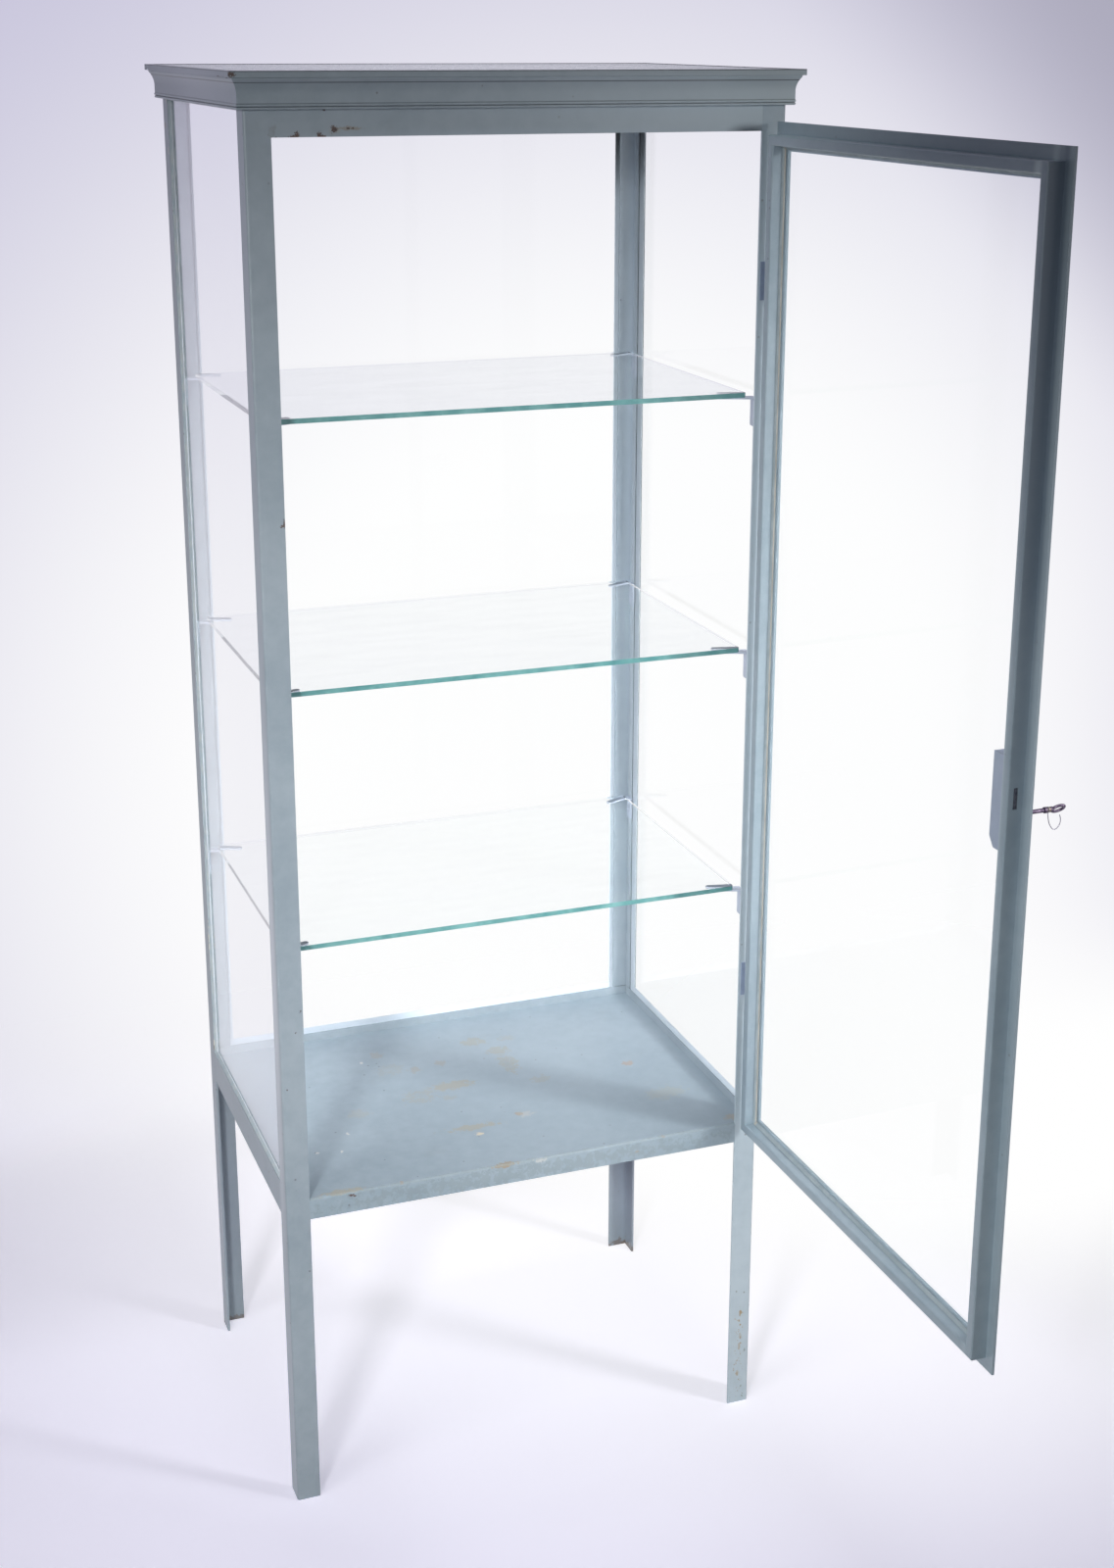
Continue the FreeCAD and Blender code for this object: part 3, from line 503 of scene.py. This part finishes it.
# Painted shade on the upper door, the lock stile's ridge and the low hinge stile; painted light on the
# lock stile's inner edge and outer flange.
door_light_and_shade = [
    ((-0.14, -0.22, 1.80), (0.48, 0.30, 0.95), 0.80, door_shade_tint),
    ((-0.2895, -0.219, 1.65), (0.0080, 0.022, 1.20), 0.75, door_shade_tint),
    ((0.29, -0.22, 0.55), (0.05, 0.10, 0.40), 0.40, (0.16, 0.21, 0.26)),
    ((-0.272, -0.21, 1.15), (0.012, 0.05, 1.00), 0.85, (0.60, 0.70, 0.75)),
    ((-0.302, -0.222, 1.25), (0.012, 0.02, 1.30), 0.55, (0.50, 0.60, 0.67))]
door_paint = aged_paint("door_paint", turned=to_closed, painted_light_and_shade=door_light_and_shade, pale=(0.37, 0.457, 0.512),
                        deep=(0.28, 0.364, 0.420))
dress(door_paint, "door_stile_lock", "door_stile_hinge", "door_rail_top", "door_rail_bottom")
lock_paint = aged_paint("lock_paint", turned=to_closed, pale=(0.44, 0.51, 0.63), deep=(0.35, 0.42, 0.53))
dress(lock_paint, "lock_case")
print("door opened", round(math.degrees(opened), 1), "degrees about", [round(v, 4) for v in pin])

# %% [markdown]
# Glass
# Panes and shelves are clear drawn glass. Light that only casts shadow passes straight through, so
# the tray is lit as it is behind real glass. A lower index than real glass keeps the ghost images of
# the plain room as faint as they are in the photograph. The shelves show a green edge, where the eye
# looks along the sheet: their rim faces get a teal finish of their own, and a thin film of dust lies
# on their upper faces.

# %% Glass finishes
edge_light = (0.22, 0.47, 0.46)
side_share = 0.03
dust_white = (0.94, 0.97, 1.0)
dust_thin = 0.004
dust_thick = 0.05


def clear_glass(name, tint, bend, rim=None):
    """Clear glass that lets shadow rays through; rim is the colour of the cut edge."""
    material, m, shader = finish(name)
    feed(m.tree, shader, Base_Color=tint, Roughness=0.0, IOR=bend, Transmission_Weight=1.0)
    out = m.tree.nodes["Material Output"]
    through = m.node("ShaderNodeBsdfTransparent", {}, {0: rgba(tint)})
    light = m.node("ShaderNodeLightPath", {}, {}, "Is Shadow Ray")
    last = m.node("ShaderNodeMixShader", {}, {0: light, 1: Mask(m.tree, shader.outputs[0]), 2: through})
    if rim:
        normal = m.node("ShaderNodeNewGeometry", {}, {}, "True Normal")
        facing = m.axes(normal)[1].ramp(-0.4, -0.8)
        outside = 1.0 - Mask(m.tree, normal.socket.node.outputs["Backfacing"])
        upright = abs(m.axes(normal)[2]).ramp(0.6, 0.4)
        edge = upright * (facing * (1.0 - side_share) + side_share) * outside
        place = m.node("ShaderNodeTexCoord", {}, {}, "Object")
        wave = m.noise(place, 30.0, 3.0, 0.6, 4.0).ramp(0.3, 0.7)
        teal = m.node("ShaderNodeBsdfPrincipled", {},
                      {"Base Color": m.colour(wave, rim, edge_light), "Roughness": 0.15})
        last = m.node("ShaderNodeMixShader", {}, {0: edge, 1: last, 2: teal})
        smear = m.noise(m.stretched(place, 3.0, 14.0, 1.0), 3.0, 5.0, 0.65, 13.0)
        smear = smear.ramp(0.35, 0.75, dust_thin, dust_thick)
        film = m.node("ShaderNodeBsdfDiffuse", {}, {"Color": rgba(dust_white)})
        upper = m.axes(normal)[2].ramp(0.8, 0.95)
        last = m.node("ShaderNodeMixShader", {}, {0: upper * smear, 1: last, 2: film})
    m.tree.links.new(last.socket, out.inputs["Surface"])
    return material


pane_tint = (0.995, 1.0, 1.0)
pane_glass = clear_glass("pane_glass", pane_tint, bend=1.16)
glare_glass = clear_glass("glare_glass", (1.0, 1.0, 1.0), bend=1.45)
door_pane = clear_glass("door_pane", pane_tint, bend=1.10)
shelf_glass = clear_glass("shelf_glass", (0.975, 0.99, 0.988), bend=1.22, rim=(0.11, 0.32, 0.32))
glazing = [
    (pane_glass, ["pane_right", "pane_back"]),
    (door_pane, ["door_glass"]),
    (glare_glass, ["pane_left"]),
    (shelf_glass, ["shelf_lower", "shelf_middle", "shelf_upper"])]
for glass, names in glazing:
    dress(glass, *names)
print("glass pieces", sum(len(names) for glass, names in glazing))

# %% [markdown]
# Putty, rubber and metal
# The putty was painted over with the frame, but it has dried and gone dirty. Its greys are paler than the
# frame's paint, partly the putty's own tone and partly a painted light on faces that sit in shade behind
# the glass, and where it lies against the glass a still paler painted light is laid. The bolt, the hinge
# pins and the keyhole plate are dark steel. The key is browned by handling, with one worn brass collar,
# and its wire is a little lighter. Two tones mixed by noise, with a fine grain, serve them all: only
# colours, scales and gloss differ. The hinge leaves were painted, in a bluer grey than the posts.

# %% Plain finishes
bed_soft = (0.0008, 0.0003)


def plain_finish(name, low, high, scale, rough, metal=0.0, collar=None, lit_bed=None):
    """Two tones mixed by noise, with a little relief; collar gives the key one worn band.

    The last argument is a painted light: the paler colour of the putty where it lies against the glass.
    """
    material, m, shader = finish(name)
    place = m.node("ShaderNodeTexCoord", {}, {}, "Object")
    cloud = m.noise(place, scale, 4.0, 0.6, 8.0)
    grain = m.noise(place, scale * 9.0, 2.0, 0.5, 9.0)
    colour = m.colour(cloud.ramp(0.35, 0.68), low, high)
    if collar:
        level, half_width, tint = collar
        along = m.moved(place, *to_closed)
        band = abs(m.axes(along)[1] - level).ramp(half_width, half_width * 0.6)
        colour = m.colour(band, colour, tint)
    # Painted light where the putty lies against a pane.
    if lit_bed:
        x, y = m.axes(place)[:2]
        on_side = abs(abs(x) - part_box("pane_right")[1][0]).ramp(*bed_soft)
        on_back = abs(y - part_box("pane_back")[1][1]).ramp(*bed_soft)
        colour = m.colour(on_side.either(on_back), colour, lit_bed)
    bump = m.node("ShaderNodeBump", {}, {"Strength": 0.2, "Distance": 0.0005, "Height": grain})
    feed(m.tree, shader, Base_Color=colour, Roughness=cloud * 0.2 + (rough - 0.1), Metallic=metal,
         Normal=bump)
    return material


# Greys paler than the frame paint: partly the putty's own tone, partly painted light on faces in shade
# behind the glass.
pane_putty = plain_finish("pane_putty", (0.47, 0.57, 0.63), (0.60, 0.66, 0.68), scale=60.0, rough=0.65,
                          lit_bed=(0.80, 0.86, 0.92))
dress(pane_putty, "putty_left", "putty_right", "putty_back")
rubber = plain_finish("rubber_block", (0.03, 0.03, 0.03), (0.06, 0.06, 0.06), scale=90.0, rough=0.8)
dress(rubber, "setting_blocks")
steel = plain_finish("dark_steel", (0.05, 0.055, 0.070), (0.13, 0.14, 0.16), scale=160.0, rough=0.45,
                     metal=1.0)
dress(steel, "lock_bolt", "keyhole_plate", "hinge_pins")
brass = (0.56, 0.49, 0.36)
collar_from_pin = 0.0320
collar_half = 0.0022
worn_collar = (pin.y - collar_from_pin, collar_half, brass)
key_steel = plain_finish("key_steel", (0.09, 0.07, 0.11), (0.25, 0.20, 0.27), scale=160.0, rough=0.45,
                         metal=1.0, collar=worn_collar)
dress(key_steel, "key")
wire = plain_finish("bright_wire", (0.26, 0.24, 0.30), (0.40, 0.38, 0.45), scale=200.0, rough=0.35,
                    metal=1.0)
dress(wire, "key_wire")
hinge_paint = aged_paint("hinge_paint", pale=(0.34, 0.41, 0.55), deep=(0.24, 0.30, 0.42), rough=0.45)
dress(hinge_paint, *[name for name in nodes if name.startswith(("hinge_leaf", "hinge_screws"))])
print("putty, rubber, steel, key and wire dressed")

# %% [markdown]
# The door's putty
# Along the two upright sides of the door glass the paint has worn off the foot of the putty, and a bare
# tan line shows. The line is found by its distance from the door's edge, with the door turned back to
# its closed place, so it needs no geometry of its own.

# %% Door putty
door_half = 0.302
putty_foot = 0.030
tan_starts = (putty_foot - 0.0016, putty_foot - 0.0006)
tan_ends = (putty_foot + 0.004, putty_foot + 0.003)


def door_putty_finish():
    """Painted putty whose foot shows a bare tan line along the glass, on the two upright sides."""
    material, m, shader = finish("door_putty")
    place = m.node("ShaderNodeTexCoord", {}, {}, "Object")
    place = m.moved(place, *to_closed)
    from_edge = door_half - abs(m.axes(place)[0])
    worn = m.noise(m.stretched(place, 1.0, 1.0, 0.2), 90.0, 4.0, 0.6, 8.0)
    tan_line = from_edge.ramp(*tan_starts) * from_edge.ramp(*tan_ends)
    cloud = m.noise(place, 45.0, 4.0, 0.6, 9.0)
    painted = m.colour(cloud.ramp(0.35, 0.68), (0.30, 0.37, 0.40), (0.40, 0.47, 0.50))
    bare = m.colour(worn.ramp(0.4, 0.6), (0.38, 0.37, 0.33), (0.54, 0.53, 0.48))
    colour = m.colour(tan_line * worn.ramp(0.30, 0.45), painted, bare)
    bump = m.node("ShaderNodeBump", {}, {"Strength": 0.2, "Distance": 0.0005, "Height": worn})
    feed(m.tree, shader, Base_Color=colour, Roughness=cloud * 0.2 + 0.55, Normal=bump)
    return material


dress(door_putty_finish(), "door_putty")
print("all nodes dressed:", all(node.data.materials for node in nodes.values()))

# %% [markdown]
# Slotted screws
# Eight small screws hold the two hinges. A screw repeats, so one Geometry Nodes tree draws it: a
# tapered head on a shank, with a slot cut across. The tree stands one screw on each point of a small
# cloud and turns it by a seeded amount, as a screwdriver leaves them.

# %% Screw tree
screw_sizes = ("Head Radius", "Rim Radius", "Head Height", "Shank Radius", "Shank Length", "Slot Width",
               "Slot Depth")
screw_facets = 24
turn_seed = 4


def screw_tree(material):
    """Geometry Nodes for slotted screws: named sizes in, one realized screw on every point out."""
    tree = bpy.data.node_groups.new("slotted_screws", "GeometryNodeTree")
    tree.interface.new_socket("Geometry", in_out="INPUT", socket_type="NodeSocketGeometry")
    for name in screw_sizes:
        tree.interface.new_socket(name, in_out="INPUT", socket_type="NodeSocketFloat")
    tree.interface.new_socket("Geometry", in_out="OUTPUT", socket_type="NodeSocketGeometry")
    g = Mask(tree)
    given = tree.nodes.new("NodeGroupInput").outputs
    size = {socket.name: Mask(tree, socket) for socket in given if socket.name}
    head = g.node("GeometryNodeMeshCone", {},
                  {"Vertices": screw_facets, "Radius Top": size["Rim Radius"],
                   "Radius Bottom": size["Head Radius"], "Depth": size["Head Height"]})
    shank = g.node("GeometryNodeMeshCylinder", {},
                   {"Vertices": screw_facets, "Radius": size["Shank Radius"],
                    "Depth": size["Shank Length"]})
    middle = size["Shank Length"] * -0.5 + size["Head Height"] * 0.5
    drop = g.node("ShaderNodeCombineXYZ", {}, {"Z": middle})
    shank = g.node("GeometryNodeTransform", {}, {"Geometry": shank, "Translation": drop})
    whole = g.node("GeometryNodeMeshBoolean", {"operation": "UNION", "solver": "EXACT"}, {1: head})
    tree.links.new(shank.socket, whole.socket.node.inputs[1])
    bar = g.node("ShaderNodeCombineXYZ", {},
                 {"X": size["Head Radius"] * 3.0, "Y": size["Slot Width"], "Z": size["Slot Depth"] * 2.0})
    lift = g.node("ShaderNodeCombineXYZ", {}, {"Z": size["Head Height"]})
    cutter = g.node("GeometryNodeMeshCube", {}, {"Size": bar})
    cutter = g.node("GeometryNodeTransform", {}, {"Geometry": cutter, "Translation": lift})
    whole = g.node("GeometryNodeMeshBoolean", {"operation": "DIFFERENCE", "solver": "EXACT"},
                   {0: whole, 1: cutter})
    turn = g.node("FunctionNodeRandomValue", {"data_type": "FLOAT"},
                  {2: 0.0, 3: math.pi, "Seed": turn_seed}, 1)
    turn = g.node("ShaderNodeCombineXYZ", {}, {"Z": turn})
    screws = g.node("GeometryNodeInstanceOnPoints", {},
                    {"Points": size["Geometry"], "Instance": whole, "Rotation": turn})
    screws = g.node("GeometryNodeRealizeInstances", {}, {"Geometry": screws})
    screws = g.node("GeometryNodeSetMaterial", {}, {"Geometry": screws, "Material": material})
    tree.links.new(screws.socket, tree.nodes.new("NodeGroupOutput").inputs[0])
    return tree


slotted = screw_tree(hinge_paint)
print("screw tree of", len(slotted.nodes), "nodes")

# %% [markdown]
# Setting the screws
# The points lie in a plane that faces up, because a cone stands upright in Blender. The finished mesh
# is turned to face the front, and the door's screws are then swung open with the door. Each set is one
# plain mesh on its own body, and stands for the plain screws of the solids.


# %% Hinge screws
def set_screws(name, body, node, points, sizes, place):
    """Grow the screws on their points, make a plain mesh and let it stand for the CAD node."""
    cloud = bpy.data.meshes.new(name)
    cloud.from_pydata(points, [], [])
    seed = bpy.data.objects.new(name + "_points", cloud)
    scene.collection.objects.link(seed)
    modifier = seed.modifiers.new("screws", "NODES")
    modifier.node_group = slotted
    for item in slotted.interface.items_tree:
        if item.in_out == "INPUT" and item.name in sizes:
            modifier[item.identifier] = sizes[item.name]
    graph = bpy.context.evaluated_depsgraph_get()
    mesh = bpy.data.meshes.new_from_object(seed.evaluated_get(graph))
    bpy.data.objects.remove(seed)
    mesh.transform(place)
    piece = bpy.data.objects.new(name, mesh)
    scene.collection.objects.link(piece)
    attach(piece, body)
    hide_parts(node)


hinge_levels = (1.5365, 0.6405)
screw_rises = (-0.013, 0.013)
screw_levels = [level + rise for level in hinge_levels for rise in screw_rises]
face_front = Matrix.Rotation(math.radians(90.0), 4, "X")
post_sizes = {"Head Radius": 0.0022, "Rim Radius": 0.0020, "Head Height": 0.0008, "Shank Radius": 0.0021,
              "Shank Length": 0.0053, "Slot Width": 0.0008, "Slot Depth": 0.0007}
post_screw_x = 0.2965
leaf_face = 0.2265
post_points = [(post_screw_x, z, leaf_face - post_sizes["Head Height"]) for z in screw_levels]
set_screws("post_screws", "cabinet", "hinge_screws_post", post_points, post_sizes, face_front)
door_sizes = {"Head Radius": 0.0036, "Rim Radius": 0.0029, "Head Height": 0.0011, "Shank Radius": 0.0022,
              "Shank Length": 0.0071, "Slot Width": 0.0010, "Slot Depth": 0.0007}
door_screw_x = 0.2820
leaf_from_pin = 0.0015
door_points = [(door_screw_x, z, leaf_from_pin - pin.y) for z in screw_levels]
swing = Matrix.Translation(pin) @ Matrix.Rotation(opened, 4, "Z") @ Matrix.Translation(-pin)
set_screws("door_screws", "door", "hinge_screws_door", door_points, door_sizes, swing @ face_front)

# %% [markdown]
# The room
# A paper sweep: pale floor, a soft bend close behind the cabinet and a wall. One profile, drawn from
# the front of the floor to the top of the wall, is stretched sideways into a strip of faces, and smooth
# shading hides the steps of the bend.

# %% Sweep
bend_start = 0.75
bend_radius = 0.55
bend_steps = 16
half_span = 4.5
wall_at = bend_start + bend_radius
profile = [(-5.0, 0.0), (-2.0, 0.0), (0.0, 0.0), (bend_start, 0.0)]
for step in range(1, bend_steps + 1):
    angle = math.radians(90.0 * step / bend_steps)
    profile.append((bend_start + bend_radius * math.sin(angle), bend_radius * (1 - math.cos(angle))))
profile += [(wall_at, 2.0), (wall_at, 4.5)]
corners = [(x, y, z) for y, z in profile for x in (-half_span, half_span)]
faces = [(2 * i, 2 * i + 1, 2 * i + 3, 2 * i + 2) for i in range(len(profile) - 1)]
sweep_mesh = bpy.data.meshes.new("sweep")
sweep_mesh.from_pydata(corners, [], faces)
for face in sweep_mesh.polygons:
    face.use_smooth = True
sweep = bpy.data.objects.new("sweep", sweep_mesh)
scene.collection.objects.link(sweep)
print("sweep", len(faces), "faces")

# %% [markdown]
# The paper's colour
# The wall glows white in the middle and fades to lavender, and so does the far floor. They glow for the
# eye, for reflections and through glass; as light on the cabinet the wall counts only a little. The floor
# near the cabinet is plain paper, so that it keeps the shadows of the legs. Seen from behind, the sweep
# is clear, so that it never hides the cabinet.

# %% Sweep paper
white = (1.0, 1.0, 1.0)
lavender = (0.56, 0.54, 0.70)
corner_grey = (0.42, 0.41, 0.51)
mist_grey = (0.62, 0.60, 0.74)
lit_paper = (1.80, 1.76, 1.96)
wall_light = 0.20


def in_view(m):
    """One for rays of the eye, of mirrors and of glass, and zero for plain light."""
    seen = m.node("ShaderNodeLightPath", {}, {}, "Is Camera Ray")
    kinds = seen.socket.node.outputs
    for kind in ("Is Glossy Ray", "Is Transmission Ray"):
        seen = seen.either(Mask(m.tree, kinds[kind]))
    return seen


material, m, shader = finish("paper")
place = m.node("ShaderNodeTexCoord", {}, {}, "Object")
x, y, z = m.axes(place)
glow = m.stretched(m.vector("SUBTRACT", place, (0.72, 0.0, 0.45)), 0.80, 0.0, 0.85)
tone = m.colour(m.length(glow).ramp(0.5, 1.7), white, lavender)
tone = m.colour((x + z).ramp(2.83, 3.68), tone, corner_grey)
spread = m.stretched(m.vector("SUBTRACT", place, (1.10, 0.60, 0.0)), 0.62, 0.85, 0.0)
outward = m.length(spread)
mist = m.colour(outward.ramp(0.62, 1.25), white, mist_grey)
feed(m.tree, shader, Base_Color=(0.90, 0.895, 0.915), Roughness=0.9, Specular_IOR_Level=0.0)
paper = Mask(m.tree, shader.outputs[0])
seen = in_view(m)
lit = m.node("ShaderNodeBsdfDiffuse", {}, {"Color": rgba(lit_paper)})
paper = m.node("ShaderNodeMixShader", {}, {0: seen, 1: paper, 2: lit})
lamp = m.node("ShaderNodeEmission", {}, {"Color": tone, "Strength": seen.ramp(0.0, 1.0, wall_light, 1.0)})
haze = m.node("ShaderNodeEmission", {}, {"Color": mist, "Strength": 1.0})
haze_share = outward.ramp(0.40, 0.75, 1.0, 0.52)
floor = m.node("ShaderNodeMixShader", {}, {0: seen * haze_share, 1: paper, 2: haze})
wall = y.ramp(bend_start - 0.25, bend_start + 0.35)
last = m.node("ShaderNodeMixShader", {}, {0: wall, 1: floor, 2: lamp})
behind = m.node("ShaderNodeNewGeometry", {}, {}, "Backfacing")
clear = m.node("ShaderNodeBsdfTransparent", {}, {})
last = m.node("ShaderNodeMixShader", {}, {0: behind, 1: last, 2: clear})
m.tree.links.new(last.socket, m.tree.nodes["Material Output"].inputs["Surface"])
sweep_mesh.materials.append(material)
print("paper of", len(m.tree.nodes), "nodes")

# %% [markdown]
# The light
# Five soft area lamps light the cabinet: two from the left and two from the right, so that each post
# throws two soft shadows towards the back, and a weak one overhead. They are aimed low, which leaves
# the cornice and the top of the door darker than the tray. The world looks white but gives only a
# little even light.


# %% Lamps and world
def soft_lamp(name, place, target, size, watts, spread):
    """One rectangular lamp that points at a target, unseen by the camera and through glass."""
    data = bpy.data.lights.new(name, "AREA")
    data.shape = "RECTANGLE"
    data.size, data.size_y = size
    data.energy = watts
    data.spread = math.radians(spread)
    lamp = bpy.data.objects.new(name, data)
    lamp.location = place
    lamp.rotation_euler = (Vector(target) - Vector(place)).to_track_quat("-Z", "Y").to_euler()
    lamp.visible_camera = False
    lamp.visible_transmission = False
    scene.collection.objects.link(lamp)


soft_lamp("left_lamp", (-1.80, -2.90, 2.10), (0.05, 0.0, 0.64),
          size=(0.45, 0.45), watts=4.2, spread=42.0)
soft_lamp("left_fill", (-2.30, -1.50, 1.50), (-0.10, -0.30, 0.60),
          size=(1.6, 1.6), watts=3.8, spread=56.0)
soft_lamp("right_lamp", (2.45, -2.30, 2.10), (0.25, 0.0, 0.75),
          size=(0.5, 0.5), watts=2.7, spread=36.0)
soft_lamp("over_lamp", (0.0, 0.1, 3.2), (0.0, 0.0, 1.78),
          size=(0.7, 0.5), watts=1.0, spread=42.0)
soft_lamp("right_low", (1.55, -1.45, 0.55), (0.30, -0.20, 0.25),
          size=(0.6, 0.6), watts=0.5, spread=50.0)
room_light = 0.04
world = bpy.data.worlds.new("room")
world.use_nodes = True
scene.world = world
back = world.node_tree.nodes["Background"]
w = Mask(world.node_tree)
w.tree.links.new(in_view(w).ramp(0.0, 1.0, room_light, 1.0).socket, back.inputs["Strength"])
back.inputs["Color"].default_value = (0.95, 0.95, 1.0, 1.0)
scene.view_settings.view_transform = "Standard"
print("lamps", len(bpy.data.lights))
